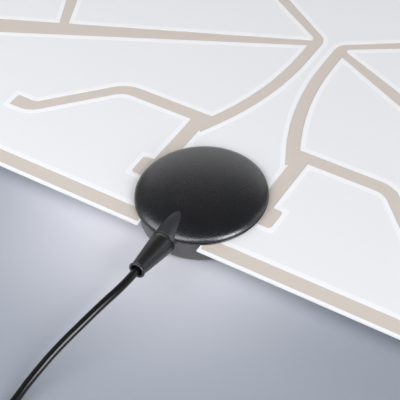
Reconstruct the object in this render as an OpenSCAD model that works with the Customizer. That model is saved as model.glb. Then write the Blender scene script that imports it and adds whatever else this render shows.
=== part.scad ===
// Flat film indoor TV antenna: a thin laminated sheet with conductor tracks, clamped at its front edge
// by a round two-part housing that holds the matching transformer and the coax lead.
// Millimetres. The base of the housing stands on z = 0 around the z axis, and the lead leaves along -Y.

/* [Sheet] */
// Width of the sheet, side to side
sheet_w = 292; // [250:1:340]
// Depth of the sheet, front edge to far edge
sheet_d = 229; // [205:1:260]
// Distance from the housing's axis to the sheet's front edge
sheet_front = 24; // [23.5:0.1:27]
// Thickness of each of the two films
film_t = 0.3; // [0.2:0.05:0.5]
// Corner radius of the sheet
sheet_corner_r = 6; // [2:1:15]
// Half width of the notch in the front edge
notch_half_w = 12.8; // [10:0.1:14]
// Distance from the axis to the inner end of the notch
notch_in = 18.6; // [18:0.1:20]
// Half width of the slot that the lead runs in
slot_half_w = 4.2; // [3.8:0.1:5]
// Distance from the axis to the clamp on the lead's braid
clamp_at = 7; // [6.5:0.1:8]

/* [Conductors] */
// Thickness of the metal foil
foil_t = 0.2; // [0.1:0.05:0.25]
// Gap between a track and the window in the front film
window_gap = 0.15; // [0.1:0.05:0.3]
// Width of the white line printed round each track
print_w = 2.1; // [1:0.1:3]
// Thickness of the white line
print_t = 0.05; // [0.02:0.01:0.1]
// Width of the leg beside the housing
leg_w = 6; // [4:0.5:8]
// Height of the contact bar at the foot of the leg
foot_h = 9.5; // [8:0.5:12]
// How far the contact bar stands out past the housing
foot_out = 5.3; // [4:0.1:8]
// Width of the inner arm
arm_w = 4.8; // [3:0.1:6]
// Radius of the inner arm's curve
arm_r = 111; // [100:1:125]
// Half gap between the two arms at the top
arm_gap = 3.2; // [2:0.1:5]
// Height where the two upper branches part
fork_y = 99.6; // [94:0.1:106]
// Height of the side run's centreline
side_y = 36.6; // [32:0.1:40]
// Width of the side run
side_w = 5.2; // [4:0.1:7]
// Width of the side run's slanted part
slant_w = 4.8; // [3:0.1:6]
// Width of the side run's end
hook_w = 6; // [4:0.1:8]
// Height of the side run's end
hook_y = 9.2; // [4:0.1:14]
// Width of a branch at its root
branch_w = 3.2; // [2:0.1:5]
// Width of the lower branch at its tip
lower_tip_w = 9.3; // [6:0.1:12]
// Width of the upper branch at its tip
upper_tip_w = 7; // [5:0.1:10]
// Width of a spur at its tip
spur_tip_w = 5.4; // [4:0.1:8]
// Length of a spur
spur_len = 40; // [25:1:45]
// Width of the strip along the front edge
strip_w = 5.6; // [3:0.1:7]
// Margin from the front strip to the edge
strip_margin = 1.6; // [1:0.1:3]

/* [Housing] */
// Radius of the cover's lip
cover_r = 25; // [24:0.1:27]
// Height of the lip above the sheet
lip_h = 0.8; // [0.6:0.1:1]
// Height of the groove above the lip
groove_h = 0.4; // [0.3:0.1:0.6]
// Depth of the groove, from the lip's edge
groove_d = 1; // [0.7:0.1:1.2]
// How far the dome's edge stands inside the lip's
dome_inset = 0.4; // [0:0.1:0.6]
// Rise of the dome above the groove
dome_h = 4.9; // [4.8:0.1:7]
// Wall of the cover
cover_wall = 1.5; // [1.2:0.1:1.8]
// How far the rear shell's rim stands inside the cover's lip
shell_inset = 0.6; // [0:0.1:1.2]
// How much narrower the rear shell is where its round edge starts
shell_taper = 0.7; // [0:0.1:1.4]
// How far the cover's skirt in the notch stands back from the shell's edge
skirt_back = 0.5; // [0.3:0.1:0.8]
// Depth of the rear shell
shell_h = 11.6; // [11:0.1:14]
// Radius of the shell's round lower edge
shell_round_r = 5; // [4:0.1:6]
// Wall of the rear shell
shell_wall = 1.5; // [1.2:0.1:2]
// Distance from the axis to each screw
screw_at = 15.2; // [14.8:0.1:15.8]
// Radius of a screw's shank
screw_r = 1.1; // [0.9:0.05:1.3]
// Radius of a screw's head
screw_head_r = 2.2; // [1.9:0.1:2.4]
// Height of a screw's head
screw_head_h = 1.5; // [1:0.1:2]
// Depth of the recess under a screw's head
screw_recess = 5; // [3:0.1:6]
// Radius of a screw boss
boss_r = 3.3; // [3.1:0.1:3.5]

/* [Saddle] */
// Radius of the saddle over the lead
saddle_r = 4.55; // [4.3:0.05:4.8]
// How far the saddle's outer face stands out past the lip
saddle_over = 0.4; // [0.3:0.1:1.5]
// How much wider the saddle gets on its way in
saddle_swell = 1.45; // [1:0.05:1.8]
// Length over which it widens
saddle_swell_len = 8; // [6:0.5:10]
// Dip of the saddle's axis on its way in, in degrees
saddle_dip = 1.5; // [0:0.5:3]

/* [Board] */
// Length of the circuit board
board_w = 34; // [30:1:36]
// Width of the circuit board
board_d = 16; // [14:0.5:17]
// Thickness of the circuit board
board_t = 1; // [0.8:0.1:1.2]
// Height of the board above the sheet
board_gap = 0.8; // [0.7:0.1:1]
// Length of the ferrite core
core_w = 7; // [6:0.5:8]
// Width of the ferrite core
core_d = 5; // [4:0.5:6]
// Height of the ferrite core
core_h = 2.4; // [2.2:0.1:2.6]
// Radius of each hole in the core
core_hole_r = 0.7; // [0.6:0.05:0.8]
// Radius of the winding wire
wire_r = 0.15; // [0.1:0.01:0.18]

/* [Lead] */
// Diameter of the coax lead
cord_d = 3; // [2.5:0.1:3.2]
// Gap round the lead in a hole
cord_gap = 0.1; // [0.05:0.05:0.2]
// Drop of the lead's centre below the top of the sheet
cord_drop = 0.55; // [0.4:0.05:0.7]
// Radius of the boot at its root
boot_root_r = 4.7; // [4.3:0.1:5.2]
// Radius of the boot before its lip
boot_tip_r = 2.95; // [2.8:0.05:3.4]
// Length of the boot outside the housing
boot_len = 17.9; // [14:0.1:24]
// Gap between the housing and the boot's root
boot_gap = 0.2; // [0.1:0.05:0.4]
// Upward tilt of the boot in degrees
boot_tilt = 4.7; // [0:0.1:8]
// Radius of the boot's neck in the housing wall
boot_neck_r = 2.6; // [2.3:0.1:2.8]
// Radius of the boot's inner flange
boot_flange_r = 3.55; // [3.2:0.05:3.6]
// Thickness of the housing wall that the neck sits in
neck_wall = 1.8; // [1.4:0.1:2.2]
// Width of the coil's section, four turns of the lead
coil_turns_across = 4; // [3:1:5]
// Radius of the coil at the middle of its turns
coil_r = 17; // [15:0.5:18]

/* [Plug] */
// Width of the coupling nut across its flats
nut_af = 11; // [10.6:0.1:11.2]
// Length of the coupling nut
nut_len = 10; // [8:0.5:12]
// Radius of the coupling nut's threaded bore
nut_bore_r = 4.45; // [4.3:0.05:4.6]
// Radius of the plug's neck that the nut turns on
neck_r = 3.2; // [3:0.05:3.4]
// Length of the moulded grip
grip_len = 22; // [18:1:28]
// Radius of the grip's front flange
grip_flange_r = 6.6; // [6.5:0.1:7.5]
// How far the centre conductor stands out past the nut
pin_out = 1.5; // [0.5:0.1:3]

/* [Hidden] */
$fn = 64;

// Small overlap that keeps cutting shapes clear of the faces they cut
eps = 0.05;

// Levels
film_low_z = shell_h;
film_mid_z = film_low_z + film_t;
sheet_top = film_mid_z + film_t;
cord_z = sheet_top - cord_drop;
cord_r = cord_d / 2;

// The lead's stripped end: braid, insulation and conductor, and the slot that clears them
braid_end = clamp_at - 1.4;
core_end = braid_end - 1.6;
wire_end = core_end - 1.5;
jacket_end = clamp_at + 3;
slot_in = wire_end - 0.5;
braid_r = 0.7 * cord_r;

// Tracks, given for the right half and mirrored for the left
arm_x = arm_gap + arm_w / 2;
arm_low_y = side_y + 0.5;
arm_bend_y = 88;
arm_sweep = asin((arm_bend_y - arm_low_y) / arm_r);
leg_x = cover_r - 2;
foot_low_y = -1.9;
foot_in_x = 12;
foot_out_x = cover_r + foot_out;
lower_tip = [sheet_w / 2 - 8, 40.8];
upper_tip = [sheet_w / 2 - 16, sheet_d - sheet_front - 27.5];
lower_root = [arm_x, fork_y - 0.8];
fork_bend_r = 4;
upper_slope = atan2(upper_tip[1] - fork_y - 2, upper_tip[0] - arm_x);
slant_angle = 45.5;
slant_bend_r = 12;
hook_bend_r = 8.5;
hook_end_x = 95;
slant_x = 59.1;
spur_share = 0.75;
strip_y = -sheet_front + strip_margin + strip_w / 2;
strip_in_x = notch_half_w + 1;
strip_out_x = sheet_w / 2 - strip_margin;

// Housing
groove_z = sheet_top + lip_h;
dome_z = groove_z + groove_h;
dome_r = cover_r - dome_inset;
dome_in_r = cover_r - groove_d - cover_wall;
dome_in_h = dome_h - cover_wall;
shell_r = cover_r - shell_inset;
shell_low_r = shell_r - shell_taper;
saddle_out = cover_r + saddle_over;
boot_y = saddle_out + boot_gap;
screw_angles = [90, 214, 326];
screw_gap = 0.15;
screw_tip_z = sheet_top + 3;
pocket_r = boot_flange_r + 0.2;
neck_in = saddle_out - neck_wall;

// Board
board_z = sheet_top + board_gap;
board_y = 2.5;
board_pin_r = 0.9;
board_pin_at = [13, 6.2];
contact_w = 6;
contact_x = 14.5;
core_hole_at = 1.7;

// Lead: the first point of the route is the boot's mouth
mouth = [0, -boot_y - boot_len * cos(boot_tilt), cord_z + boot_len * sin(boot_tilt)];
lead_route = [mouth, [0, -48, 13.3], [-0.6, -54, 13.1], [-1.8, -60, 12.5], [-3.1, -66, 11.5], [-4.7, -73, 10],
    [-6.2, -79, 8.4], [-7.4, -85, 6.9], [-8.3, -91, 5.3], [-8.9, -97, 3.9], [-9.1, -103, 2.7],
    [-9.2, -110, 1.8], [-9.1, -117, 1.5], [-9, -125, 1.5], [-9, -133, 1.5], [-9, -142, 1.5]];
end_route = [[13.5, -164.5, 10.5], [19, -164.5, 10.1], [25, -164.5, 9.1], [31, -164.5, 7.8], [37, -164.5, 6.8],
    [42, -164.5, 6.6], [44, -164.5, 6.6]];
tube_sides = 8;
coil_at = [12.5, -143];
coil_w = coil_turns_across * cord_d;
tie_t = 0.6;
tie_w = 4;
tie_angle = 45;

// Plug, whose axis runs along +X from the back of its grip
plug_at = [42, -164.5, 6.6];
flange_t = 1.6;
nut_clear = 0.2;
nut_wall = 1.6;
nut_x = grip_len + flange_t + nut_clear;
flare_x = nut_x + nut_wall + nut_clear;
flare_t = 1.2;
post_r = 3;
insulator_r = 2.2;
pin_r = 0.4;

// Outline helpers
function unit(v) = v / norm(v);
function turn_left(v) = [-v[1], v[0]];
function dir_at(p, i) = unit([for (k = [0:1]) p[min(i + 1, len(p) - 1)][k] - p[max(i - 1, 0)][k]]);
function side_pt(p, i, s) = [p[i][0], p[i][1]] + s * p[i][2] / 2 * turn_left(dir_at(p, i));
function ribbon(p) = concat([for (i = [0:len(p) - 1]) side_pt(p, i, 1)],
    [for (i = [len(p) - 1:-1:0]) side_pt(p, i, -1)]);
// Points [x, y, width] along an arc
function arc_run(c, r, a0, a1, w0, w1, n) = [for (i = [0:n])
    [c[0] + r * cos(a0 + (a1 - a0) * i / n), c[1] + r * sin(a0 + (a1 - a0) * i / n), w0 + (w1 - w0) * i / n]];
// A run made wider by g on each side and longer by g at each end
function grow(p, g) = [for (i = [0:len(p) - 1])
    let (e = i == 0 ? -g * dir_at(p, 0) : i == len(p) - 1 ? g * dir_at(p, i) : [0, 0])
    [p[i][0] + e[0], p[i][1] + e[1], p[i][2] + 2 * g]];

module run(p, g) {
    polygon(ribbon(grow(p, g)));
}

module round_rect(x0, y0, x1, y1, r) {
    translate([x0 + r, y0]) square([x1 - x0 - 2 * r, y1 - y0]);
    translate([x0, y0 + r]) square([x1 - x0, y1 - y0 - 2 * r]);
    for (x = [x0 + r, x1 - r], y = [y0 + r, y1 - r]) translate([x, y]) circle(r);
}

// Leg and contact bar beside the housing
module foot_2d(g) {
    run([[leg_x, foot_low_y + foot_h - 1.5, leg_w], [leg_x, side_y + side_w / 2, leg_w]], g);
    round_rect(foot_in_x - g, foot_low_y - g, foot_out_x + g, foot_low_y + foot_h + g, 1.5);
}

// Inner arm that rises from the leg, and the upper branch that it turns into
arm_path = concat([[leg_x - 1.5, 31, leg_w]],
    arc_run([arm_x + arm_r, arm_bend_y], arm_r, 180 + arm_sweep, 180, arm_w + 0.4, arm_w, 8),
    arc_run([arm_x + fork_bend_r, fork_y], fork_bend_r, 180, 90 + upper_slope, arm_w, branch_w, 6),
    [[upper_tip[0], upper_tip[1], upper_tip_w]]);

lower_path = [[lower_root[0], lower_root[1], branch_w], [lower_tip[0], lower_tip[1], lower_tip_w]];

// Side run with its slanted part and its flat end
side_path = concat([[leg_x, side_y, side_w]],
    arc_run([slant_x - slant_bend_r * tan(slant_angle / 2), side_y - slant_bend_r], slant_bend_r,
        90, 90 - slant_angle, side_w, slant_w, 5),
    arc_run([hook_x() + hook_bend_r * tan(slant_angle / 2), hook_y + hook_bend_r], hook_bend_r,
        270 - slant_angle, 270, slant_w, hook_w, 5),
    [[hook_end_x, hook_y, hook_w]]);
function hook_x() = slant_x + (side_y - hook_y) / tan(slant_angle);

// A spur stands square on a branch
function spur_path(a, b, w0) = let (d = unit(b - a), p = a + (b - a) * spur_share, n = turn_left(d))
    [[p[0], p[1], w0], [p[0] + n[0] * spur_len, p[1] + n[1] * spur_len, spur_tip_w]];

module element_2d(g) {
    foot_2d(g);
    run(arm_path, g);
    run(lower_path, g);
    run(side_path, g);
    run(spur_path(lower_root, lower_tip, spur_tip_w - 1.8), g);
    run(spur_path([arm_x, fork_y + 2], upper_tip, spur_tip_w - 1.8), g);
}

module strip_2d(g) {
    run([[strip_in_x, strip_y, strip_w], [strip_out_x, strip_y, strip_w]], g);
}

module tracks_2d(g) {
    for (s = [0, 1]) mirror([s, 0]) {
        element_2d(g);
        strip_2d(g);
    }
}

module screw_spots() {
    for (a = screw_angles) rotate(a) translate([screw_at, 0, 0]) children();
}

// The sheet's outline with its notch, its slot and its screw holes
module sheet_2d() {
    difference() {
        round_rect(-sheet_w / 2, -sheet_front, sheet_w / 2, sheet_d - sheet_front, sheet_corner_r);
        translate([-notch_half_w, -sheet_front - 1]) square([2 * notch_half_w, sheet_front + 1 - notch_in]);
        translate([-slot_half_w, -sheet_front]) square([2 * slot_half_w, sheet_front - slot_in]);
        screw_spots() circle(screw_r + 0.4);
    }
}

module rear_film() {
    color("whitesmoke") translate([0, 0, film_low_z]) linear_extrude(film_t) sheet_2d();
}

module front_film() {
    color("white") translate([0, 0, film_mid_z]) linear_extrude(film_t) difference() {
        sheet_2d();
        tracks_2d(window_gap);
    }
}

module element(s) {
    color([0.82, 0.77, 0.72]) translate([0, 0, film_mid_z]) mirror([s, 0, 0]) linear_extrude(foil_t)
        difference() {
            element_2d(0);
            screw_spots() circle(screw_r + 0.8);
        }
}

module left_element() {
    element(1);
}

module right_element() {
    element(0);
}

module strip(s) {
    color([0.82, 0.77, 0.72]) translate([0, 0, film_mid_z]) mirror([s, 0, 0])
        linear_extrude(foil_t) strip_2d(0);
}

module left_strip() {
    strip(1);
}

module right_strip() {
    strip(0);
}

// White line round the tracks, kept off the housing and the sheet's edges
module white_print() {
    color([0.98, 0.98, 0.96]) translate([0, 0, sheet_top]) linear_extrude(print_t) difference() {
        intersection() {
            tracks_2d(print_w);
            difference() {
                round_rect(-sheet_w / 2 + 0.2, -sheet_front + 0.2, sheet_w / 2 - 0.2,
                    sheet_d - sheet_front - 0.2, sheet_corner_r);
                translate([-notch_half_w - 0.2, -sheet_front - 1]) square([2 * notch_half_w + 0.4, 10]);
            }
        }
        tracks_2d(window_gap);
        circle(cover_r + 0.2);
    }
}

// Quarter ellipse of a dome's section, from its rim to its top
function dome_pts(r, h) = [for (a = [0:4:88]) [r * cos(a), h * sin(a)]];

module dome_solid(r, h, z) {
    translate([0, 0, z]) rotate_extrude() polygon(concat([[0, 0]], dome_pts(r, h), [[0, h]]));
}

module cover_outside() {
    dome_solid(dome_r, dome_h, dome_z);
    translate([0, 0, sheet_top]) cylinder(h = lip_h, r = cover_r);
    translate([0, 0, groove_z - eps]) cylinder(h = groove_h + 2 * eps, r = cover_r - groove_d);
}

module cover_inside() {
    dome_solid(dome_in_r, dome_in_h, dome_z);
    translate([0, 0, sheet_top - eps]) cylinder(h = dome_z - sheet_top + 2 * eps, r = dome_in_r);
}

// Everything between two heights
module slab(z0, z1) {
    translate([-50, -50, z0]) cube([100, 100, z1 - z0]);
}

// A round bar along -Y from y0 out to y1
module bar_y(y0, y1, r, z) {
    translate([0, -y0, z]) rotate([90, 0, 0]) cylinder(h = y1 - y0, r = r);
}

// Raised tunnel over the lead, turned round an axis that runs in from the saddle's face
module saddle() {
    wide_r = saddle_r + saddle_swell;
    swell_pts = [for (i = [0:8]) [saddle_r + saddle_swell * sin(90 * i / 8), saddle_swell_len * i / 8]];
    intersection() {
        translate([0, -saddle_out, cord_z]) rotate([-90 - saddle_dip, 0, 0]) rotate_extrude()
            polygon(concat([[0, -1], [saddle_r, -1]], swell_pts, [[wide_r, saddle_swell_len + 6],
                [0, saddle_swell_len + 6]]));
        translate([-wide_r, -saddle_out, sheet_top]) cube([2 * wide_r, saddle_out, 3 * wide_r]);
    }
}

// Room for the lead's boot, cut from both halves of the housing
module lead_cut() {
    bar_y(neck_in, saddle_out + 1, boot_neck_r + cord_gap, cord_z);
    bar_y(jacket_end + 1, neck_in, pocket_r, cord_z);
}

module cover_boss(r) {
    intersection() {
        translate([0, 0, sheet_top]) screw_spots() cylinder(h = dome_h, r = r);
        cover_outside();
    }
}

// Pegs that hold the board down
module board_pegs() {
    intersection() {
        for (s = [-1, 1]) translate([s * board_pin_at[0], board_y + board_pin_at[1], 0]) {
            translate([0, 0, board_z + board_t + 0.1]) cylinder(h = dome_h, r = board_pin_r + 0.8);
            translate([0, 0, board_z + 0.1]) cylinder(h = dome_h, r = board_pin_r);
        }
        cover_outside();
    }
}

// Skirt under the lip that fills the sheet's notch
module notch_skirt() {
    difference() {
        translate([0, 0, shell_h + 0.05]) intersection() {
            difference() {
                cylinder(h = 2 * film_t + eps, r = shell_r - skirt_back);
                translate([0, 0, -1]) cylinder(h = 5, r = shell_r - shell_wall);
            }
            translate([-notch_half_w + 0.2, -shell_r - 1, 0])
                cube([2 * notch_half_w - 0.4, shell_r + 1 - notch_in - 0.2, 5]);
        }
        bar_y(neck_in - 1, saddle_out + 1, saddle_r + 0.1, cord_z);
    }
}

module top_cover() {
    color([0.16, 0.16, 0.17]) difference() {
        union() {
            difference() {
                union() {
                    cover_outside();
                    saddle();
                }
                difference() {
                    cover_inside();
                    bar_y(neck_in, saddle_out, saddle_r, cord_z);
                }
            }
            cover_boss(2.5);
            board_pegs();
            notch_skirt();
        }
        lead_cut();
        translate([0, 0, sheet_top - eps]) screw_spots() cylinder(h = screw_tip_z - sheet_top + 0.3, r = screw_r);
    }
}

module shell_profile(r_low, r_top, rnd, z0) {
    polygon([[0, z0], [r_low - rnd, z0], [r_low - rnd, z0 + rnd], [r_low, z0 + rnd], [r_top, shell_h], [0, shell_h]]);
    translate([r_low - rnd, z0 + rnd]) circle(rnd);
}

module shell_body() {
    difference() {
        rotate_extrude() shell_half() shell_profile(shell_low_r, shell_r, shell_round_r, 0);
        difference() {
            rotate_extrude() shell_half() shell_profile(shell_low_r - shell_wall, shell_r - shell_wall,
                shell_round_r - shell_wall, shell_wall);
            screw_spots() cylinder(h = shell_h, r = boss_r);
            bar_y(neck_in, saddle_out, saddle_r, cord_z);
        }
        translate([0, 0, shell_h]) cylinder(h = 5, r = shell_r + 1);
    }
}

// Keeps a section to the right of its axis
module shell_half() {
    intersection() {
        children();
        square([60, 60]);
    }
}

module collar_half() {
    intersection() {
        bar_y(neck_in, saddle_out, saddle_r, cord_z);
        translate([-10, -saddle_out - 1, 0]) cube([20, 20, sheet_top - 0.1]);
    }
}

module rear_shell() {
    color([0.33, 0.32, 0.31]) difference() {
        union() {
            shell_body();
            collar_half();
        }
        lead_cut();
        screw_spots() translate([0, 0, -eps]) cylinder(h = screw_recess + eps, r = screw_head_r + 0.3);
        screw_spots() cylinder(h = shell_h + 1, r = screw_r + screw_gap);
    }
}

module circuit_board() {
    color("seagreen") translate([0, board_y, board_z]) linear_extrude(board_t) difference() {
        round_rect(-board_w / 2, -board_d / 2, board_w / 2, board_d / 2, 1);
        for (s = [-1, 1]) translate([s * board_pin_at[0], board_pin_at[1]]) circle(board_pin_r + 0.1);
        for (y = [-1, 1]) translate([0, y * (core_d / 2 + 1)]) circle(0.5);
    }
}

// Leaf spring bent from strip, from the board's underside down to the foil
module contact(s) {
    foil_top = film_mid_z + foil_t;
    drop = board_z - foil_top;
    color("gold") translate([s * contact_x, foot_low_y + foot_h / 2, foil_top]) mirror([s < 0 ? 1 : 0, 0, 0])
        translate([0, contact_w / 2, 0]) rotate([90, 0, 0]) linear_extrude(contact_w)
            polygon([[-3.2, drop], [-3.2, drop - 0.25], [-0.6, drop - 0.25], [0.6, 0], [2.2, 0], [2.6, 0.3],
                [2.4, 0.45], [2, 0.25], [0.75, 0.25], [-0.4, drop]]);
}

module left_contact() {
    contact(-1);
}

module right_contact() {
    contact(1);
}

module balun_core() {
    color([0.2, 0.2, 0.22]) translate([0, board_y, board_z + board_t]) difference() {
        translate([-core_w / 2, -core_d / 2, 0]) cube([core_w, core_d, core_h]);
        for (s = [-1, 1]) translate([s * core_hole_at, core_d, core_h / 2]) rotate([90, 0, 0])
            cylinder(h = 2 * core_d, r = core_hole_r);
    }
}

// One turn of wire through both holes of the core
module wire_turn(half_w, half_l) {
    for (s = [-1, 1]) {
        translate([s * half_w, half_l, 0]) rotate([90, 0, 0]) cylinder(h = 2 * half_l, r = wire_r, $fn = 16);
        translate([0, s * half_l, 0]) rotate(s > 0 ? 0 : 180) rotate_extrude(angle = 180)
            translate([half_w, 0]) circle(wire_r, $fn = 16);
    }
}

module balun_winding() {
    color("orangered") for (k = [-1, 0, 1])
        translate([0, board_y, board_z + board_t + core_h / 2 + k * 2.4 * wire_r])
            wire_turn(core_hole_at, core_d / 2 + 0.1);
}

// Metal strip that holds the braid to the underside of the board
module ground_clamp() {
    hole_r = braid_r + 0.05;
    out_r = hole_r + 0.4;
    color("silver") translate([0, -clamp_at + 1.2, cord_z]) rotate([90, 0, 0]) linear_extrude(2.6) difference() {
        union() {
            circle(out_r);
            translate([-out_r, 0]) square([2 * out_r, board_z - cord_z]);
        }
        circle(hole_r);
        translate([-hole_r, 0]) square([2 * hole_r, 5]);
    }
}

// Braid under the clamp, then the inner insulation and the conductor
module coax_core() {
    color("silver") bar_y(braid_end, jacket_end, braid_r, cord_z);
    color("white") bar_y(core_end, braid_end, 0.5 * cord_r, cord_z);
    color("orange") bar_y(wire_end, core_end, 0.17 * cord_r, cord_z);
}

// Jacket of the lead inside the housing and the boot
module coax_jacket() {
    color([0.1, 0.1, 0.1]) {
        bar_y(jacket_end, boot_y, cord_r, cord_z);
        translate([0, -boot_y, cord_z]) {
            sphere(cord_r + 0.1);
            rotate([90 - boot_tilt, 0, 0]) cylinder(h = boot_len, r = cord_r);
        }
    }
}

module cover_screws() {
    color("silver") screw_spots() {
        translate([0, 0, screw_recess - screw_head_h]) difference() {
            cylinder(h = screw_head_h, r = screw_head_r);
            for (a = [0, 90]) rotate(a) translate([-1.3, -0.25, -eps]) cube([2.6, 0.5, 0.8]);
        }
        translate([0, 0, screw_recess - eps]) cylinder(h = screw_tip_z - screw_recess, r = screw_r - 0.02);
    }
}

// Tapered strain relief with a ring at its root, a rolled lip, a neck in the housing wall and a flange inside
module cable_boot() {
    lip_r = 0.5;
    ring_t = 0.6;
    ring_groove = 0.4;
    mouth_r = boot_tip_r - 0.65;
    color([0.14, 0.14, 0.14]) difference() {
        union() {
            intersection() {
                translate([0, -boot_y, cord_z]) rotate([90 - boot_tilt, 0, 0]) rotate_extrude() {
                    polygon([[0, -2], [boot_root_r, -2], [boot_root_r, ring_t],
                        [boot_root_r - ring_groove, ring_t], [boot_root_r - ring_groove, ring_t + ring_groove],
                        [boot_root_r, ring_t + ring_groove], [boot_tip_r, boot_len - 2 * lip_r],
                        [boot_tip_r, boot_len - lip_r], [0, boot_len - lip_r]]);
                    translate([boot_tip_r - 0.2, boot_len - lip_r]) circle(lip_r);
                }
                translate([-20, -boot_y - 2 * boot_len, -20]) cube([40, 2 * boot_len, 60]);
            }
            bar_y(neck_in - 0.1, boot_y + eps, boot_neck_r, cord_z);
            bar_y(neck_in - 1.6, neck_in - 0.1, boot_flange_r, cord_z);
        }
        bar_y(neck_in - 5, boot_y, cord_r + cord_gap, cord_z);
        translate([0, -boot_y, cord_z]) sphere(cord_r + 0.25);
        translate([0, -boot_y, cord_z]) rotate([90 - boot_tilt, 0, 0]) {
            cylinder(h = boot_len + 1, r = cord_r + cord_gap);
            translate([0, 0, boot_len - 6]) cylinder(h = 7, r = mouth_r);
        }
    }
}

// Swept tube of the lead, with one ring of points at each point of its route
function route_dir(p, i) = unit(p[min(i + 1, len(p) - 1)] - p[max(i - 1, 0)]);
function ring_at(p, d, r) = let (s = unit(cross(d, [0, 0, 1])), u = cross(s, d))
    [for (k = [0:tube_sides - 1]) p + r * (cos(k * 360 / tube_sides) * s + sin(k * 360 / tube_sides) * u)];

module tube(route, r, first_dir, last_dir) {
    n = len(route);
    m = tube_sides;
    pts = [for (i = [0:n - 1]) each ring_at(route[i], i == 0 ? first_dir : i == n - 1 ? last_dir : route_dir(route, i), r)];
    sides = [for (i = [0:n - 2], k = [0:m - 1], t = [0, 1])
        let (a = i * m + k, b = i * m + (k + 1) % m)
        t == 0 ? [a, b, b + m] : [a, b + m, a + m]];
    polyhedron(pts, concat([[for (k = [m - 1:-1:0]) k]], sides, [[for (k = [0:m - 1]) (n - 1) * m + k]]));
}

module coax_lead() {
    color([0.08, 0.08, 0.08]) tube(lead_route, cord_r, [0, -cos(boot_tilt), sin(boot_tilt)], [0, -1, 0]);
}

module coax_end() {
    color([0.08, 0.08, 0.08]) tube(end_route, cord_r, [1, 0, 0], [1, 0, 0]);
}

module coil_ring(inset) {
    rotate_extrude() round_rect(coil_r - coil_w / 2 + inset, inset, coil_r + coil_w / 2 - inset, coil_w - inset, cord_r);
}

module tie_zone(w) {
    rotate(tie_angle) translate([0, -w / 2, -1]) cube([50, w, 50]);
}

module coax_coil() {
    color([0.08, 0.08, 0.08]) translate([coil_at[0], coil_at[1], 0]) difference() {
        coil_ring(0);
        difference() {
            tie_zone(tie_w + 0.2);
            coil_ring(tie_t + 0.1);
        }
    }
}

module coil_tie() {
    color([0.15, 0.15, 0.15]) translate([coil_at[0], coil_at[1], 0]) intersection() {
        difference() {
            coil_ring(0);
            coil_ring(tie_t);
        }
        tie_zone(tie_w);
    }
}

module plug_place() {
    translate(plug_at) rotate([0, 90, 0]) children();
}

// Moulded grip with ribs and a front flange
module plug_grip() {
    rib_pitch = 2.4;
    color([0.1, 0.1, 0.1]) plug_place() difference() {
        union() {
            cylinder(h = 7, r1 = cord_r + 1.2, r2 = 5);
            translate([0, 0, 7 - eps]) cylinder(h = grip_len - 7 + eps, r = 5);
            for (k = [0:3]) translate([0, 0, 8.5 + k * rib_pitch]) cylinder(h = 1.2, r = 5.5);
            translate([0, 0, grip_len - 3]) cylinder(h = 3, r = grip_flange_r);
        }
        translate([0, 0, -eps]) cylinder(h = 2 + eps, r = cord_r);
        translate([0, 0, 2 - eps]) cylinder(h = grip_len, r = cord_r + cord_gap);
        translate([0, 0, grip_len - 10]) cylinder(h = 11, r = post_r);
    }
}

// Metal body: a post in the grip, a flange, the neck that the nut turns on and a flare that holds it
module plug_body() {
    color("silver") plug_place() difference() {
        union() {
            translate([0, 0, grip_len - 10]) cylinder(h = 10 + eps, r = post_r);
            translate([0, 0, grip_len]) cylinder(h = flange_t, r = 4.8);
            translate([0, 0, grip_len + flange_t - eps]) cylinder(h = flare_x - grip_len - flange_t + 2 * eps, r = neck_r);
            translate([0, 0, flare_x]) cylinder(h = flare_t, r = nut_bore_r - 0.4);
        }
        translate([0, 0, grip_len - 11]) cylinder(h = 40, r = insulator_r);
    }
}

module plug_insulator() {
    color("ivory") plug_place() difference() {
        translate([0, 0, grip_len - 10]) cylinder(h = flare_x + flare_t - grip_len + 10, r = insulator_r);
        translate([0, 0, grip_len - 11]) cylinder(h = 60, r = pin_r);
    }
}

module centre_pin() {
    color("goldenrod") plug_place() {
        translate([0, 0, grip_len - 10]) cylinder(h = nut_x + nut_len + pin_out - 0.4 - grip_len + 10, r = pin_r);
        translate([0, 0, nut_x + nut_len + pin_out - 0.4]) cylinder(h = 0.4, r1 = pin_r, r2 = 0.2);
    }
}

// Six-sided nut that turns freely on the neck
module coupling_nut() {
    color("silver") plug_place() difference() {
        intersection() {
            translate([0, 0, nut_x]) cylinder(h = nut_len, r = nut_af / 2 / cos(30), $fn = 6);
            translate([0, 0, nut_x]) cylinder(h = nut_len, r1 = nut_af / 2 + 0.2, r2 = nut_af / 2 + 0.2 + nut_len);
            translate([0, 0, nut_x]) cylinder(h = nut_len, r1 = nut_af / 2 + 0.2 + nut_len, r2 = nut_af / 2 + 0.2);
        }
        translate([0, 0, nut_x - 1]) cylinder(h = nut_wall + 2, r = neck_r + 0.06);
        translate([0, 0, nut_x + nut_wall]) cylinder(h = nut_len, r = nut_bore_r);
    }
}

rear_film();
front_film();
left_element();
right_element();
left_strip();
right_strip();
white_print();
top_cover();
rear_shell();
circuit_board();
left_contact();
right_contact();
balun_core();
balun_winding();
ground_clamp();
coax_core();
coax_jacket();
cover_screws();
cable_boot();
coax_lead();
coax_coil();
coax_end();
coil_tie();
plug_grip();
plug_body();
plug_insulator();
centre_pin();
coupling_nut();
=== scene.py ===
"""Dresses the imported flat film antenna: sheet, round housing, boot, coax lead, coil and screw-on plug."""

import logging
import math
from dataclasses import dataclass, field
from enum import Enum

import bmesh
import bpy
from mathutils import Matrix, Vector


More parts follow.
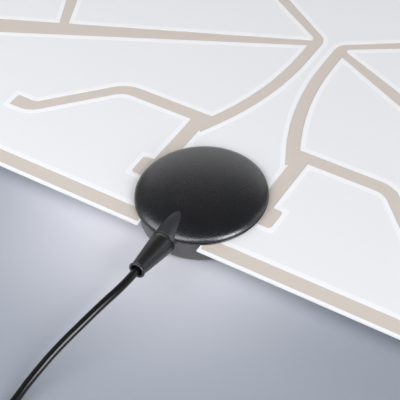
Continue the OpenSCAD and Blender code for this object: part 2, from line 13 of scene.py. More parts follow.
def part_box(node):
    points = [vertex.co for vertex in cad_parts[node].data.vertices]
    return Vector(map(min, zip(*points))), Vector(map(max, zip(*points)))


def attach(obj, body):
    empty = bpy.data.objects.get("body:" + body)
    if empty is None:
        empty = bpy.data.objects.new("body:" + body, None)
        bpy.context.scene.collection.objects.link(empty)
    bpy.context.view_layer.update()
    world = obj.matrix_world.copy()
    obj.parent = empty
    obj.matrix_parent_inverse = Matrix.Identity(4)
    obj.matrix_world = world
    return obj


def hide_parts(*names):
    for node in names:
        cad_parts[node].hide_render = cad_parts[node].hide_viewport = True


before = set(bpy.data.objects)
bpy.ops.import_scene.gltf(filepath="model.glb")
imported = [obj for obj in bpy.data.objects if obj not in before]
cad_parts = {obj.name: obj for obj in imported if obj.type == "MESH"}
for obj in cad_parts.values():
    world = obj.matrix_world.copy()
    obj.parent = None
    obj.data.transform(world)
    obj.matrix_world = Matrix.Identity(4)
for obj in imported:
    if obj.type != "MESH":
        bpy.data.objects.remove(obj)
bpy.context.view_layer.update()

log = logging.getLogger("antenna")
MM = 0.001
ANTENNA = "antenna"
NUT = "nut"
TAU = 2 * math.pi


class Slot(Enum):
    """Names of material slots; nothing in this script uses them."""

    FILM = "film"
    FOIL = "foil"
    PRINT = "print"
    COVER = "cover_plastic"
    SHELL = "shell_plastic"
    BOARD = "board"
    SPRING = "spring_brass"
    FERRITE = "ferrite"
    WIRE = "copper_wire"
    TIN = "tin_plate"
    BRAID = "braid"
    JACKET = "jacket"
    BOOT = "boot_rubber"
    SCREW = "screw_steel"
    TIE = "tie_plastic"
    GRIP = "grip_plastic"
    PLATED = "plated_metal"
    INSULATOR = "insulator"
    PIN = "pin_metal"


# Node groups and finishes


class Socket(Enum):
    """Kinds of socket that a shader node group has."""

    NUMBER = "NodeSocketFloat"
    COLOUR = "NodeSocketColor"
    VECTOR = "NodeSocketVector"


def new_group(name: str, inputs: list[tuple[str, Socket]], outputs: list[tuple[str, Socket]]) -> bpy.types.NodeTree:
    """Makes an empty shader node group with named sockets.

    Args:
        name: the group's name.
        inputs: name and kind of each input.
        outputs: name and kind of each output.

    Returns:
        The node tree, with its Group Input and Group Output nodes.
    """
    tree = bpy.data.node_groups.new(name, "ShaderNodeTree")
    for label, kind in inputs:
        tree.interface.new_socket(label, in_out="INPUT", socket_type=kind.value)
    for label, kind in outputs:
        tree.interface.new_socket(label, in_out="OUTPUT", socket_type=kind.value)
    tree.nodes.new("NodeGroupInput")
    tree.nodes.new("NodeGroupOutput")
    return tree


@dataclass
class Wiring:
    """Adds nodes to a tree and links them with little writing."""

    tree: bpy.types.NodeTree

    def add(self, kind: str, values: dict | None = None, **settings: object) -> bpy.types.Node:
        """Adds a node.

        Args:
            kind: the node's type name.
            values: input socket name or number to its value, or to the output socket that feeds it.
            settings: attributes of the node.

        Returns:
            The new node.
        """
        node = self.tree.nodes.new(kind)
        for key, value in settings.items():
            setattr(node, key, value)
        for key, value in (values or {}).items():
            if isinstance(value, bpy.types.NodeSocket):
                self.tree.links.new(value, node.inputs[key])
            else:
                node.inputs[key].default_value = value
        return node

    def math(self, operation: str, first: object, second: object = 0.0) -> bpy.types.NodeSocket:
        """Adds a Math node and returns its output."""
        return self.add("ShaderNodeMath", {0: first, 1: second}, operation=operation).outputs[0]

    def noise(self, vector: bpy.types.NodeSocket, scale: object, detail: float = 2.0) -> bpy.types.NodeSocket:
        """Adds a Noise Texture and returns its factor."""
        return self.add("ShaderNodeTexNoise", {"Vector": vector, "Scale": scale, "Detail": detail}).outputs["Fac"]


def build_grain_group() -> bpy.types.NodeTree:
    """Builds the shared surface effect: moulded grain, slow mottling and a change of gloss.

    Returns:
        The node group.
    """
    tree = new_group(
        "surface_grain",
        [("Vector", Socket.VECTOR), ("Colour", Socket.COLOUR), ("Second colour", Socket.COLOUR),
         ("Grain scale", Socket.NUMBER), ("Mottle scale", Socket.NUMBER), ("Mottle", Socket.NUMBER),
         ("Roughness", Socket.NUMBER), ("Gloss change", Socket.NUMBER)],
        [("Colour", Socket.COLOUR), ("Roughness", Socket.NUMBER), ("Height", Socket.NUMBER)],
    )
    wire = Wiring(tree)
    source = tree.nodes["Group Input"].outputs
    sink = tree.nodes["Group Output"].inputs
    grain = wire.noise(source["Vector"], source["Grain scale"], 3.0)
    slow = wire.noise(source["Vector"], source["Mottle scale"], 4.0)
    amount = wire.math("MULTIPLY", slow, source["Mottle"])
    colour = wire.add("ShaderNodeMix", {"Factor": amount, "A": source["Colour"], "B": source["Second colour"]},
                      data_type="RGBA")
    tree.links.new(colour.outputs["Result"], sink["Colour"])
    centred = wire.math("SUBTRACT", wire.math("ADD", grain, slow), 1.0)
    gloss = wire.math("MULTIPLY", centred, source["Gloss change"])
    rough = wire.add("ShaderNodeMath", {0: source["Roughness"], 1: gloss}, operation="ADD", use_clamp=True)
    tree.links.new(rough.outputs[0], sink["Roughness"])
    tree.links.new(grain, sink["Height"])
    return tree


def build_dust_group() -> bpy.types.NodeTree:
    """Builds a thin dust that lies on faces that look up, in soft patches.

    Returns:
        The node group.
    """
    tree = new_group(
        "resting_dust",
        [("Vector", Socket.VECTOR), ("Normal", Socket.VECTOR), ("Colour", Socket.COLOUR), ("Dust", Socket.COLOUR),
         ("Amount", Socket.NUMBER)],
        [("Colour", Socket.COLOUR)],
    )
    wire = Wiring(tree)
    source = tree.nodes["Group Input"].outputs
    split = wire.add("ShaderNodeSeparateXYZ", {0: source["Normal"]})
    facing = wire.add("ShaderNodeMapRange", {"Value": split.outputs["Z"], "From Min": 0.3, "From Max": 1.0})
    patch = wire.noise(source["Vector"], 900.0, 6.0)
    spots = wire.add("ShaderNodeMapRange", {"Value": patch, "From Min": 0.5, "From Max": 0.75})
    cover = wire.math("MULTIPLY", facing.outputs[0], spots.outputs[0])
    amount = wire.math("MULTIPLY", cover, source["Amount"])
    colour = wire.add("ShaderNodeMix", {"Factor": amount, "A": source["Colour"], "B": source["Dust"]},
                      data_type="RGBA")
    tree.links.new(colour.outputs["Result"], tree.nodes["Group Output"].inputs["Colour"])
    return tree


GRAIN = build_grain_group()
DUST = build_dust_group()


@dataclass(frozen=True)
class Finish:
    """One surface finish, worked out from the object's own coordinates."""

    name: str
    colour: tuple[float, float, float]
    second: tuple[float, float, float]
    roughness: float = 0.5
    metallic: float = 0.0
    specular: float = 0.5
    grain: float = 2500.0
    grain_depth: float = 0.00001
    mottle_scale: float = 60.0
    mottle: float = 0.5
    gloss_change: float = 0.05
    dust: float = 0.0
    ior: float = 1.5

    def material(self) -> bpy.types.Material:
        """Builds the finish's node material, or finds the one built before.

        Returns:
            The material.
        """
        known = bpy.data.materials.get(self.name)
        if known:
            return known
        made = bpy.data.materials.new(self.name)
        made.use_nodes = True
        tree = made.node_tree
        wire = Wiring(tree)
        shader = tree.nodes["Principled BSDF"]
        place = wire.add("ShaderNodeTexCoord").outputs["Object"]
        grain = wire.add("ShaderNodeGroup", node_tree=GRAIN)
        for label, value in {
            "Colour": (*self.colour, 1.0), "Second colour": (*self.second, 1.0), "Grain scale": self.grain,
            "Mottle scale": self.mottle_scale, "Mottle": self.mottle, "Roughness": self.roughness,
            "Gloss change": self.gloss_change,
        }.items():
            grain.inputs[label].default_value = value
        tree.links.new(place, grain.inputs["Vector"])
        colour = grain.outputs["Colour"]
        if self.dust:
            facing = wire.add("ShaderNodeNewGeometry").outputs["Normal"]
            dust = wire.add("ShaderNodeGroup", node_tree=DUST)
            for label, value in {"Dust": (0.55, 0.53, 0.5, 1.0), "Amount": self.dust}.items():
                dust.inputs[label].default_value = value
            for label, feed in {"Vector": place, "Normal": facing, "Colour": colour}.items():
                tree.links.new(feed, dust.inputs[label])
            colour = dust.outputs["Colour"]
        tree.links.new(colour, shader.inputs["Base Color"])
        tree.links.new(grain.outputs["Roughness"], shader.inputs["Roughness"])
        bump = wire.add("ShaderNodeBump", {"Height": grain.outputs["Height"], "Distance": self.grain_depth})
        tree.links.new(bump.outputs["Normal"], shader.inputs["Normal"])
        shader.inputs["Metallic"].default_value = self.metallic
        shader.inputs["Specular IOR Level"].default_value = self.specular
        shader.inputs["IOR"].default_value = self.ior
        return made


FILM = Finish("white_film", (0.885, 0.88, 0.872), (0.87, 0.865, 0.858), 0.42, grain=1400.0, grain_depth=0.000004,
              mottle_scale=18.0)
FOIL = Finish("beige_foil", (0.68, 0.605, 0.53), (0.64, 0.565, 0.49), 0.55, grain=3200.0, grain_depth=0.000006,
              mottle_scale=90.0, specular=0.35)
PRINT = Finish("white_print", (0.955, 0.95, 0.94), (0.935, 0.93, 0.92), 0.6, grain=2600.0, grain_depth=0.000004)
SATIN_BLACK = Finish("cover_satin_black", (0.004, 0.004, 0.005), (0.006, 0.006, 0.007), 0.26, specular=1.0, ior=1.6,
                     grain=2500.0, grain_depth=0.00007, mottle_scale=120.0, gloss_change=0.08)
# The saddle is the cover's own black plastic, given a lighter colour as painted sheen.
SADDLE_PAINTED_SHEEN = Finish("saddle_painted_sheen", (0.027, 0.027, 0.03), (0.033, 0.033, 0.036), 0.42, grain=1900.0,
                      grain_depth=0.00002, mottle_scale=120.0)
SHELL_BLACK = Finish("shell_black", (0.1, 0.096, 0.092), (0.115, 0.11, 0.105), 0.42, grain=2600.0,
                     grain_depth=0.00002, mottle_scale=120.0)
BOOT_BLACK = Finish("boot_black", (0.008, 0.0078, 0.008), (0.013, 0.012, 0.0115), 0.3, specular=1.0, grain=1500.0,
                    grain_depth=0.000004, mottle_scale=150.0)
JACKET_BLACK = Finish("jacket_black", (0.005, 0.005, 0.0055), (0.008, 0.008, 0.0085), 0.22, grain=1800.0,
                      grain_depth=0.00001, mottle_scale=120.0)
GRIP_BLACK = Finish("grip_black", (0.015, 0.015, 0.016), (0.024, 0.024, 0.025), 0.45, grain=2600.0,
                    grain_depth=0.00002)
TIE_BLACK = Finish("tie_black", (0.02, 0.02, 0.021), (0.03, 0.03, 0.031), 0.5, grain=2600.0)
PLATE = Finish("nickel_plate", (0.62, 0.6, 0.57), (0.55, 0.53, 0.5), 0.22, metallic=1.0, grain=1500.0,
               grain_depth=0.000004, gloss_change=0.1)
STEEL = Finish("zinc_steel", (0.5, 0.5, 0.5), (0.42, 0.42, 0.43), 0.35, metallic=1.0, grain=2200.0)
TIN = Finish("tin_strip", (0.6, 0.6, 0.59), (0.52, 0.52, 0.51), 0.3, metallic=1.0, grain=2200.0)
BRASS = Finish("spring_brass", (0.65, 0.45, 0.16), (0.55, 0.37, 0.12), 0.3, metallic=1.0, grain=2000.0)
COPPER = Finish("copper_wire", (0.6, 0.25, 0.12), (0.5, 0.18, 0.08), 0.28, metallic=1.0, grain=3000.0)
BRAID = Finish("wire_braid", (0.55, 0.54, 0.52), (0.4, 0.39, 0.38), 0.4, metallic=1.0, grain=5000.0,
               grain_depth=0.00005)
FERRITE = Finish("ferrite", (0.03, 0.03, 0.032), (0.05, 0.05, 0.052), 0.6, grain=3500.0, grain_depth=0.00003)
MASK_GREEN = Finish("board_green", (0.02, 0.12, 0.05), (0.03, 0.16, 0.07), 0.35, grain=900.0)
INSULATOR = Finish("plug_insulator", (0.78, 0.76, 0.7), (0.72, 0.7, 0.64), 0.5, grain=2200.0)


# Mesh helpers


def arc(centre: tuple[float, float], radius: float, start: float, end: float, steps: int) -> list[tuple[float, float]]:
    """Points along an arc, angles in degrees."""
    turns = [math.radians(start + (end - start) * i / steps) for i in range(steps + 1)]
    return [(centre[0] + radius * math.cos(t), centre[1] + radius * math.sin(t)) for t in turns]


def spun(profile: list[tuple[float, float]], steps: int = 96) -> bmesh.types.BMesh:
    """Spins a profile of (radius, height) in millimetres round the Z axis.

    Args:
        profile: the section's points in order, closed by its ends on the axis or by its first point again.
        steps: number of steps in the full turn.

    Returns:
        A bmesh in millimetres.
    """
    bm = bmesh.new()
    line = [bm.verts.new((radius, 0, height)) for radius, height in profile]
    edges = [bm.edges.new(pair) for pair in zip(line, line[1:])]
    bmesh.ops.spin(bm, geom=line + edges, cent=(0, 0, 0), axis=(0, 0, 1), angle=TAU, steps=steps, use_merge=True)
    bmesh.ops.remove_doubles(bm, verts=bm.verts, dist=0.001)
    bmesh.ops.recalc_face_normals(bm, faces=bm.faces)
    return bm


def finish_piece(name: str, bm: bmesh.types.BMesh, look: Finish, body: str,
                 place: Matrix | None = None, sharp: float = 40.0) -> bpy.types.Object:
    """Turns a bmesh in millimetres into a piece at the origin that rides on a body.

    Args:
        name: the piece's name.
        bm: its mesh, freed here.
        look: its finish.
        body: the CAD body that it rides on.
        place: where it goes, in millimetres, or None where the mesh is already in place.
        sharp: edges that turn by more than this many degrees stay sharp.

    Returns:
        The new object.
    """
    if place is not None:
        bmesh.ops.transform(bm, matrix=place, verts=bm.verts)
    bmesh.ops.scale(bm, vec=(MM, MM, MM), verts=bm.verts)
    mesh = bpy.data.meshes.new(name)
    bm.to_mesh(mesh)
    bm.free()
    piece = bpy.data.objects.new(name, mesh)
    bpy.context.scene.collection.objects.link(piece)
    return settle(piece, look, body, sharp)


def settle(piece: bpy.types.Object, look: Finish, body: str, sharp: float = 40.0) -> bpy.types.Object:
    """Gives a piece its finish, smooth shading and body."""
    piece.data.materials.clear()
    piece.data.materials.append(look.material())
    piece.data.shade_smooth()
    piece.data.set_sharp_from_angle(angle=math.radians(sharp))
    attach(piece, body)
    log.info("%s: %d faces", piece.name, len(piece.data.polygons))
    return piece


def rounded_copy(node: str, look: Finish, body: str, width: float = 0.15) -> bpy.types.Object:
    """Copies a CAD node, merges its loose triangles and softens its edges.

    Args:
        node: the CAD node, which the copy stands for.
        look: the copy's finish.
        body: the body that it rides on.
        width: width of the softened edges in millimetres.

    Returns:
        The new object.
    """
    bm = bmesh.new()
    bm.from_mesh(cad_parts[node].data)
    bmesh.ops.remove_doubles(bm, verts=bm.verts, dist=1e-7)
    bmesh.ops.scale(bm, vec=(1 / MM,) * 3, verts=bm.verts)
    bmesh.ops.dissolve_limit(bm, angle_limit=math.radians(1.0), verts=bm.verts, edges=bm.edges)
    piece = finish_piece(f"{node}_dressed", bm, look, body)
    edge = piece.modifiers.new("soft_edges", "BEVEL")
    edge.width = width * MM
    edge.segments = 2
    edge.limit_method = "ANGLE"
    edge.angle_limit = math.radians(35)
    edge.harden_normals = False
    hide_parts(node)
    return piece


def dress_node(node: str, look: Finish) -> None:
    """Gives a CAD node that stays its material."""
    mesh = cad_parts[node].data
    mesh.materials.clear()
    mesh.materials.append(look.material())
    log.info("%s: finish %s", node, look.name)


# Studio


@dataclass(frozen=True)
class SoftBox:
    """A soft rectangular lamp aimed at the housing.

    Azimuth 0 is in front of the sheet's near edge and 90 on its right; reach, width and height are in metres,
    and a radiance of 1 looks white in the picture.
    """

    name: str
    azimuth: float
    elevation: float
    reach: float
    width: float
    height: float
    radiance: float
    colour: tuple[float, float, float] = (1.0, 1.0, 1.0)


@dataclass
class Studio:
    """Camera at the photograph's angle, pale floor and soft lights. Lengths in millimetres, angles in degrees."""

    azimuth: float = 34.777
    elevation: float = 45.703
    roll: float = -3.806
    distance: float = 490.11
    shift_right: float = -0.611
    shift_up: float = -1.534
    focal: float = 1321.3 / 400 * 36
    target_z: float = 12.2
    floor_size: float = 6.0
    # Floor colours: a painted pool of light round the housing that hides the sheet's shadow, fading to the floor's own
    # blue-grey darkened by painted shade.
    floor_painted_light: tuple[float, float, float] = (0.885, 0.875, 0.91)
    floor_tone_and_painted_shade: tuple[float, float, float] = (0.32, 0.345, 0.385)
    painted_pool_centre: tuple[float, float, float] = (-15.0, -5.0, 0.0)
    painted_pool_reach: tuple[float, float] = (56.0, 50.0)
    horizon: float = 0.32
    overhead: float = 0.07
    boxes: tuple[SoftBox, ...] = (
        SoftBox("right_box", 74, 27, 2.2, 1.0, 1.4, 8.5, (0.99, 1.0, 1.03)),
        SoftBox("left_box", -29, 39, 0.55, 0.68, 0.42, 2.45, (0.97, 0.99, 1.04)),
        SoftBox("front_box", 32, 52, 1.0, 1.0, 0.22, 3.1, (0.95, 0.98, 1.08)),
        SoftBox("edge_panel", 130, 25, 1.5, 0.5, 0.5, 1.0, (0.93, 0.97, 1.1)),
        SoftBox("back_panel", -155, 20, 1.6, 2.0, 1.0, 0.62),
    )

    def add_camera(self) -> bpy.types.Object:
        """Makes the camera.

        Returns:
            The camera object.
        """
        azimuth, elevation, roll = (math.radians(a) for a in (self.azimuth, self.elevation, self.roll))
        back = Vector((math.sin(azimuth) * math.cos(elevation), -math.cos(azimuth) * math.cos(elevation),
                       math.sin(elevation)))
        right = (-back).cross(Vector((0, 0, 1))).normalized()
        up = right.cross(-back)
        turned_right = right * math.cos(roll) + up * math.sin(roll)
        turned_up = up * math.cos(roll) - right * math.sin(roll)
        place = back * self.distance + turned_right * self.shift_right + turned_up * self.shift_up
        place.z += self.target_z
        data = bpy.data.cameras.new("camera")
        data.sensor_width = 36
        data.lens = self.focal
        data.clip_start, data.clip_end = 0.01, 50
        camera = bpy.data.objects.new("camera", data)
        turn = Matrix((turned_right, turned_up, back)).transposed().to_4x4()
        camera.matrix_world = Matrix.Translation(place * MM) @ turn
        bpy.context.scene.collection.objects.link(camera)
        bpy.context.scene.camera = camera
        return camera

    def add_floor(self) -> bpy.types.Object:
        """Makes the floor, whose colour holds a painted pool of light round the housing and painted shade that greys
        it away from the housing.

        Returns:
            The floor object.
        """
        bm = bmesh.new()
        bmesh.ops.create_grid(bm, x_segments=1, y_segments=1, size=self.floor_size / 2)
        mesh = bpy.data.meshes.new("floor")
        bm.to_mesh(mesh)
        bm.free()
        floor = bpy.data.objects.new("floor", mesh)
        bpy.context.scene.collection.objects.link(floor)
        look = bpy.data.materials.new("floor_paper")
        look.use_nodes = True
        wire = Wiring(look.node_tree)
        shader = look.node_tree.nodes["Principled BSDF"]
        place = wire.add("ShaderNodeTexCoord").outputs["Object"]
        # Painted pool of light: a soft oval of paler floor colour round the housing stands in for light, and the rest
        # is darkened by painted shade.
        centre = wire.add("ShaderNodeVectorMath", {0: place, 1: Vector(self.painted_pool_centre) * MM}, operation="SUBTRACT")
        reach = (self.painted_pool_reach[0] * MM, self.painted_pool_reach[1] * MM, 1.0)
        away = wire.add("ShaderNodeVectorMath", {0: centre.outputs[0], 1: reach}, operation="DIVIDE")
        square = wire.add("ShaderNodeVectorMath", {0: away.outputs[0], 1: away.outputs[0]}, operation="DOT_PRODUCT")
        painted_pool = wire.math("EXPONENT", wire.math("MULTIPLY", square.outputs["Value"], -1.0))
        painted_light_mix = wire.add("ShaderNodeMix", {"Factor": painted_pool, "A": (*self.floor_tone_and_painted_shade, 1.0), "B": (*self.floor_painted_light, 1.0)},
                        data_type="RGBA")
        look.node_tree.links.new(painted_light_mix.outputs["Result"], shader.inputs["Base Color"])
        shader.inputs["Roughness"].default_value = 0.9
        shader.inputs["Specular IOR Level"].default_value = 0.2
        mesh.materials.append(look)
        return floor

    def add_light(self, box: SoftBox) -> None:
        """Adds one soft box that looks at the housing."""
        data = bpy.data.lights.new(box.name, "AREA")
        data.shape = "RECTANGLE"
        data.size, data.size_y = box.width, box.height
        data.energy = box.radiance * math.pi * box.width * box.height
        data.color = box.colour
        lamp = bpy.data.objects.new(box.name, data)
        reach = box.reach
        a, e = math.radians(box.azimuth), math.radians(box.elevation)
        back = Vector((math.sin(a) * math.cos(e), -math.cos(a) * math.cos(e), math.sin(e)))
        lamp.location = back * reach
        lamp.rotation_mode = "QUATERNION"
        lamp.rotation_quaternion = (-back).to_track_quat("-Z", "Y")
        bpy.context.scene.collection.objects.link(lamp)

    def add_world(self) -> None:
        """Adds a surround that darkens from the horizon to overhead."""
        world = bpy.data.worlds.new("surround")
        world.use_nodes = True
        wire = Wiring(world.node_tree)
        back = world.node_tree.nodes["Background"]
        back.inputs["Color"].default_value = (0.93, 0.95, 1.0, 1.0)
        height = wire.add("ShaderNodeSeparateXYZ", {0: wire.add("ShaderNodeTexCoord").outputs["Generated"]}).outputs["Z"]
        fall = wire.add("ShaderNodeMapRange", {"Value": height, "To Min": self.horizon, "To Max": self.overhead})
        world.node_tree.links.new(fall.outputs[0], back.inputs["Strength"])
        bpy.context.scene.world = world

    def build(self) -> None:
        """Makes the whole studio."""
        bpy.context.scene.view_settings.view_transform = "Standard"
        self.add_camera()
        self.add_floor()
        self.add_world()
        for box in self.boxes:
            self.add_light(box)
        log.info("studio: camera, floor and lights")


# The object


@dataclass
class Levels:
    """Heights and places that the sub-assemblies share, in millimetres."""

    film_low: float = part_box("rear_film")[0].z / MM
    sheet_top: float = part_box("front_film")[1].z / MM
    cover_r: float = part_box("top_cover")[1].x / MM
    saddle_out: float = -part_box("top_cover")[0].y / MM
    cord_drop: float = 0.55
    boot_gap: float = 0.2
    boot_tilt: float = 4.7
    boot_len: float = 17.9

    @property
    def cord_z(self) -> float:
        """Height of the lead where it leaves the housing."""
        return self.sheet_top - self.cord_drop

    @property
    def root(self) -> Vector:
        """Centre of the boot's root."""
        return Vector((0, -self.saddle_out - self.boot_gap, self.cord_z))

    @property
    def boot_turn(self) -> Matrix:
        """Turns +Z to the boot's axis, out of the housing and a little up."""
        return Matrix.Rotation(math.radians(90 - self.boot_tilt), 4, "X")

    @property
    def mouth(self) -> Vector:
        """Centre of the boot's mouth."""
        return self.root + self.boot_turn @ Vector((0, 0, self.boot_len))


LEVELS = Levels()


@dataclass
class Lead:
    """The coax lead: one cord from the boot's mouth through its coil to the plug. Millimetres."""

    diameter: float = 3.0
    length: float = 1800.0
    coil_centre: tuple[float, float] = (12.5, -143.0)
    coil_radius: float = 17.0
    across: int = 4
    high: int = 4
    turns: float = 15.25
    crossing: float = 300.0
    crossing_arc: float = 100.0
    tie_angle: float = 45.0
    tie_arc: float = 85.0
    squeeze: float = 0.88
    plug_back: tuple[float, float, float] = (44.0, -164.5, 6.6)
    out: list[tuple[float, float, float]] = field(default_factory=lambda: [
        (0, -48, 13.3), (-0.6, -54, 13.1), (-1.8, -60, 12.5), (-3.1, -66, 11.5), (-4.7, -73, 10),
        (-6.2, -79, 8.4), (-7.4, -85, 6.9), (-8.3, -91, 5.3), (-8.9, -97, 3.9), (-9.1, -103, 2.7),
        (-9.2, -110, 1.8), (-9.1, -117, 1.5), (-9, -125, 1.5), (-9, -133, 1.5)])
    end: list[tuple[float, float, float]] = field(default_factory=lambda: [
        (19, -164.5, 10.1), (25, -164.5, 9.1), (31, -164.5, 7.8), (37, -164.5, 6.8), (42, -164.5, 6.6),
        (44, -164.5, 6.6)])

    def coil_point(self, angle: float) -> Vector:
        """Centre of the lead at an angle along the winding, in degrees from its start on the left."""
        plan = 180 + angle
        count = (plan - self.crossing) / 360 + 1
        turn = max(0, min(self.across * self.high - 1, math.floor(count)))
        into = (count - turn) * 360
        share = min(1.0, max(0.0, into / self.crossing_arc)) if turn > 0 else 1.0
        share = share * share * (3 - 2 * share)
        r0, z0 = self.cell(max(0, turn - 1))
        r1, z1 = self.cell(turn)
        radius = r0 + (r1 - r0) * share
        height = z0 + (z1 - z0) * share
        near_tie = max(0.0, 1 - abs((plan - self.tie_angle + 180) % 360 - 180) / self.tie_arc)
        grip = 1 - (1 - self.squeeze) * near_tie * near_tie * (3 - 2 * near_tie)
        radius = self.coil_radius + (radius - self.coil_radius) * grip
        middle = self.high * self.diameter / 2
        height = middle + (height - middle) * grip
        t = math.radians(plan)
        return Vector((self.coil_centre[0] + radius * math.cos(t), self.coil_centre[1] + radius * math.sin(t), height))

    def cell(self, turn: int) -> tuple[float, float]:
        """Radius and height of one turn in the coil's section, wound in rows from the floor up."""
        row, column = divmod(turn, self.across)
        if row % 2:
            column = self.across - 1 - column
        outer = self.coil_radius + (self.across - 1) * self.diameter / 2
        return outer - column * self.diameter, self.diameter * (row + 0.5)

    def smooth(self, points: list[Vector], steps: int = 4) -> list[Vector]:
        """Points of a smooth curve through the given ones."""
        made = []
        for i in range(len(points) - 1):
            p0, p1, p2, p3 = points[max(i - 1, 0)], points[i], points[i + 1], points[min(i + 2, len(points) - 1)]
            for k in range(steps):
                t = k / steps
                made.append(0.5 * (2 * p1 + (p2 - p0) * t + (2 * p0 - 5 * p1 + 4 * p2 - p3) * t * t
                                   + (3 * p1 - p0 - 3 * p2 + p3) * t ** 3))
        return made + [points[-1]]

    def route(self) -> list[Vector]:
        """The whole centreline in millimetres."""
        start = [LEVELS.mouth] + [Vector(p) for p in self.out] + [self.coil_point(0)]
        steps = round(self.turns * 60)
        coil = [self.coil_point(360 * self.turns * i / steps) for i in range(1, steps + 1)]
        finish = [coil[-1]] + [Vector(p) for p in self.end]
        return self.smooth(start) + coil + self.smooth(finish)[1:]

    def build(self, fittings: list[bpy.types.Object]) -> bpy.types.Object:
        """Makes the cord as one open spline.

        Args:
            fittings: the pieces that are on the cord; not used.

        Returns:
            The curve object.
        """
        points = self.route()
        curve = bpy.data.curves.new("coax_cord", "CURVE")
        curve.dimensions = "3D"
        curve.bevel_depth = self.diameter / 2 * MM
        curve.bevel_resolution = 4
        curve.use_fill_caps = True
        spline = curve.splines.new("POLY")
        spline.points.add(len(points) - 1)
        for point, knot in zip(points, spline.points):
            knot.co = (*(point * MM), 1)
        cord = bpy.data.objects.new("coax_cord", curve)
        bpy.context.scene.collection.objects.link(cord)
        curve.materials.append(JACKET_BLACK.material())
        for flat in curve.splines:
            flat.use_smooth = True
        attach(cord, ANTENNA)
        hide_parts("coax_lead", "coax_coil", "coax_end")
        length = sum((b - a).length for a, b in zip(points, points[1:]))
        log.info("lead: %.0f mm in %d points", length, len(points))
        return cord


@dataclass
class Cover:
    """Domed top cover with its lip, groove and saddle over the lead. Millimetres."""

    lip_h: float = 0.8
    groove_h: float = 0.4
    groove_d: float = 0.8
    dome_inset: float = 0.05
    dome_h: float = 4.9
    wall: float = 1.5
    lip_round: float = 0.18
    saddle_r: float = 4.55
    saddle_swell: float = 1.45
    swell_len: float = 8.0
    saddle_dip: float = 0.026
    saddle_spread: float = 0.1
    skirt_back: float = 1.1
    skirt_wall: float = 1.0
    skirt_half_w: float = 12.6
    skirt_in: float = 18.8

    def profile(self) -> list[tuple[float, float]]:
        """Section of the cover, from the top of the dome round its lip to the inner top."""
        z = LEVELS.sheet_top
        r = LEVELS.cover_r
        dome_z = z + self.lip_h + self.groove_h
        dome_r = r - self.dome_inset
        edge = self.lip_round
        outer = [(dome_r * math.sin(math.radians(a)), dome_z + self.dome_h * math.cos(math.radians(a)))
                 for a in range(0, 90, 3)]
        rim = [(dome_r, dome_z + 0.1), (dome_r - 0.06, dome_z + 0.02), (dome_r - 0.15, dome_z)]
        groove = [(r - self.groove_d, dome_z), (r - self.groove_d, z + self.lip_h)]
        lip = arc((r - edge, z + self.lip_h - edge), edge, 90, 0, 4) + [(r, z + 0.25), (r - 0.2, z)]
        inner_r = r - self.groove_d - self.wall
        inner_h = self.dome_h - self.wall
        inside = [(inner_r * math.cos(math.radians(a)), dome_z + inner_h * math.sin(math.radians(a)))
                  for a in range(0, 91, 6)]
        return outer + rim + groove + lip + [(inner_r, z)] + inside

    def saddle(self) -> bmesh.types.BMesh:
        """Turns the tunnel over the lead round its axis, raises it inward and cuts it off at the sheet."""
        steps = 14
        side = [(self.saddle_r, 0.2 + (self.swell_len - 0.2) * i / steps) for i in range(steps + 1)]
        bm = spun([(0, 0.0), (self.saddle_r - 0.2, 0.0), (self.saddle_r - 0.06, 0.06)] + side
                  + [(self.saddle_r, 13), (0, 13)], 96)
        place = Matrix.Translation((0, -LEVELS.saddle_out, LEVELS.cord_z)) @ Matrix.Rotation(math.radians(-90), 4, "X")
        bmesh.ops.transform(bm, matrix=place, verts=bm.verts)
        for vert in bm.verts:
            into = vert.co.y + LEVELS.saddle_out
            share = math.sin(math.pi / 2 * min(1.0, max(0.0, into / self.swell_len)))
            taller = 1 + self.saddle_swell / self.saddle_r * share
            vert.co.x *= 1 + self.saddle_spread * share
            vert.co.z = LEVELS.cord_z + (vert.co.z - LEVELS.cord_z) * taller - into * self.saddle_dip
        bmesh.ops.bisect_plane(bm, geom=bm.verts[:] + bm.edges[:] + bm.faces[:], dist=0.0001,
                               plane_co=(0, 0, LEVELS.sheet_top), plane_no=(0, 0, -1), clear_outer=True)
        bmesh.ops.holes_fill(bm, edges=[e for e in bm.edges if e.is_boundary], sides=0)
        bmesh.ops.recalc_face_normals(bm, faces=bm.faces)
        return bm

    def skirt(self) -> bmesh.types.BMesh:
        """Makes the short skirt under the lip that fills the sheet's notch, set back in the lip's shadow."""
        low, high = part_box("rear_shell")[1].z / MM + 0.05, LEVELS.sheet_top + 0.1
        outer = LEVELS.cover_r - self.skirt_back
        inner = outer - self.skirt_wall
        bm = spun([(inner, low), (outer, low), (outer, high), (inner, high), (inner, low)], 128)
        for side in (-1, 1):
            self.trim(bm, (side * self.skirt_half_w, 0, 0), (side, 0, 0))
        self.trim(bm, (0, -self.skirt_in, 0), (0, 1, 0))
        return bm

    def trim(self, bm: bmesh.types.BMesh, place: tuple[float, float, float], outward: tuple[int, int, int]) -> None:
        """Cuts away what lies past a plane and closes the cut."""
        bmesh.ops.bisect_plane(bm, geom=bm.verts[:] + bm.edges[:] + bm.faces[:], dist=0.0001, plane_co=place,
                               plane_no=outward, clear_outer=True)
        bmesh.ops.holes_fill(bm, edges=[e for e in bm.edges if e.is_boundary], sides=0)

    def build(self) -> None:
        """Makes the cover, its saddle and its skirt."""
        dome = finish_piece("cover_dome", spun(self.profile(), 128), SATIN_BLACK, ANTENNA, sharp=50)
        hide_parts("top_cover")
        # The saddle's lighter colour is painted sheen on the cover's black plastic.
        finish_piece("cover_saddle", self.saddle(), SADDLE_PAINTED_SHEEN, ANTENNA, sharp=50)
        finish_piece("cover_skirt", self.skirt(), SATIN_BLACK, ANTENNA, sharp=50)


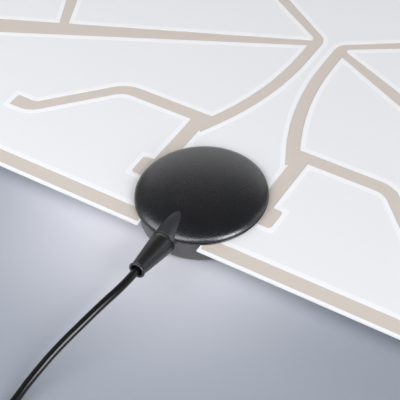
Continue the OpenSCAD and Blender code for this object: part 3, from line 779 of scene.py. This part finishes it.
@dataclass
class Boot:
    """Tapered strain relief with a rolled lip. Millimetres."""

    root_r: float = 4.7
    ring: float = 0.6
    groove: float = 0.4
    tip_r: float = 2.95
    lip_r: float = 0.5
    bore_r: float = 1.62
    mouth_r: float = 2.3
    mouth_depth: float = 6.0

    def profile(self) -> list[tuple[float, float]]:
        """Closed section along the boot's axis."""
        length = LEVELS.boot_len
        lip_z = length - self.lip_r
        root, ring, soft = self.root_r, self.ring, 0.1
        start = ring + self.groove
        body = [(self.bore_r, 0.0), (root - soft, 0.0), (root, soft), (root, ring - soft), (root - soft, ring),
                (root - self.groove, ring), (root - self.groove, start), (root - 0.15, start), (root, start + 0.2)]
        steps = 10
        for i in range(1, steps + 1):
            t = i / steps
            body.append((root + (self.tip_r - root) * t, start + 0.2 + (lip_z - 1.4 - start) * t))
        body.append((self.tip_r - 0.05, lip_z - 0.6))
        lip = arc((self.tip_r - 0.2, lip_z), self.lip_r, -50, 180, 10)
        inside = [(self.mouth_r - 0.05, lip_z - 0.4), (self.mouth_r - 0.05, length - self.mouth_depth),
                  (self.bore_r, length - self.mouth_depth), (self.bore_r, 0.0)]
        return body + lip + inside

    def build(self) -> None:
        """Makes the boot on its tilted axis."""
        place = Matrix.Translation(LEVELS.root) @ LEVELS.boot_turn
        boot = finish_piece("boot_dressed", spun(self.profile(), 72), BOOT_BLACK, ANTENNA, place, 50)
        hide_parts("cable_boot")


@dataclass
class Sheet:
    """The laminated sheet, its conductors and its printed lines, which keep their CAD shapes."""

    finishes: dict[str, Finish] = field(default_factory=lambda: {
        "rear_film": FILM, "front_film": FILM, "left_element": FOIL, "right_element": FOIL,
        "left_strip": FOIL, "right_strip": FOIL, "white_print": PRINT})

    def build(self) -> None:
        """Dresses every layer."""
        for node, look in self.finishes.items():
            dress_node(node, look)


@dataclass
class Housing:
    """Rear shell, screws and the parts sealed inside."""

    inner: dict[str, Finish] = field(default_factory=lambda: {
        "circuit_board": MASK_GREEN, "left_contact": BRASS, "right_contact": BRASS, "balun_core": FERRITE,
        "balun_winding": COPPER, "ground_clamp": TIN, "coax_core": BRAID, "coax_jacket": JACKET_BLACK,
        "cover_screws": STEEL})

    def build(self) -> None:
        """Makes the shell with soft edges and dresses the rest."""
        rounded_copy("rear_shell", SHELL_BLACK, ANTENNA, 0.15)
        for node, look in self.inner.items():
            dress_node(node, look)


@dataclass
class Plug:
    """Screw-on coax plug and the coil's tie."""

    def build(self) -> list[bpy.types.Object]:
        """Makes the plug's pieces and the tie.

        Returns:
            The pieces that are on the cord.
        """
        dress_node("plug_insulator", INSULATOR)
        dress_node("centre_pin", COPPER)
        return [rounded_copy("plug_grip", GRIP_BLACK, ANTENNA, 0.3),
                rounded_copy("plug_body", PLATE, ANTENNA, 0.1),
                rounded_copy("coupling_nut", PLATE, NUT, 0.12),
                rounded_copy("coil_tie", TIE_BLACK, ANTENNA, 0.1),
                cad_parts["plug_insulator"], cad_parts["centre_pin"]]


def main() -> None:
    """Builds the studio, the cord and then every sub-assembly."""
    logging.basicConfig(level=logging.INFO, format="%(name)s: %(message)s")
    Studio().build()
    Lead().build(Plug().build())
    Sheet().build()
    Cover().build()
    Housing().build()
    Boot().build()


if __name__ == "__main__":
    main()
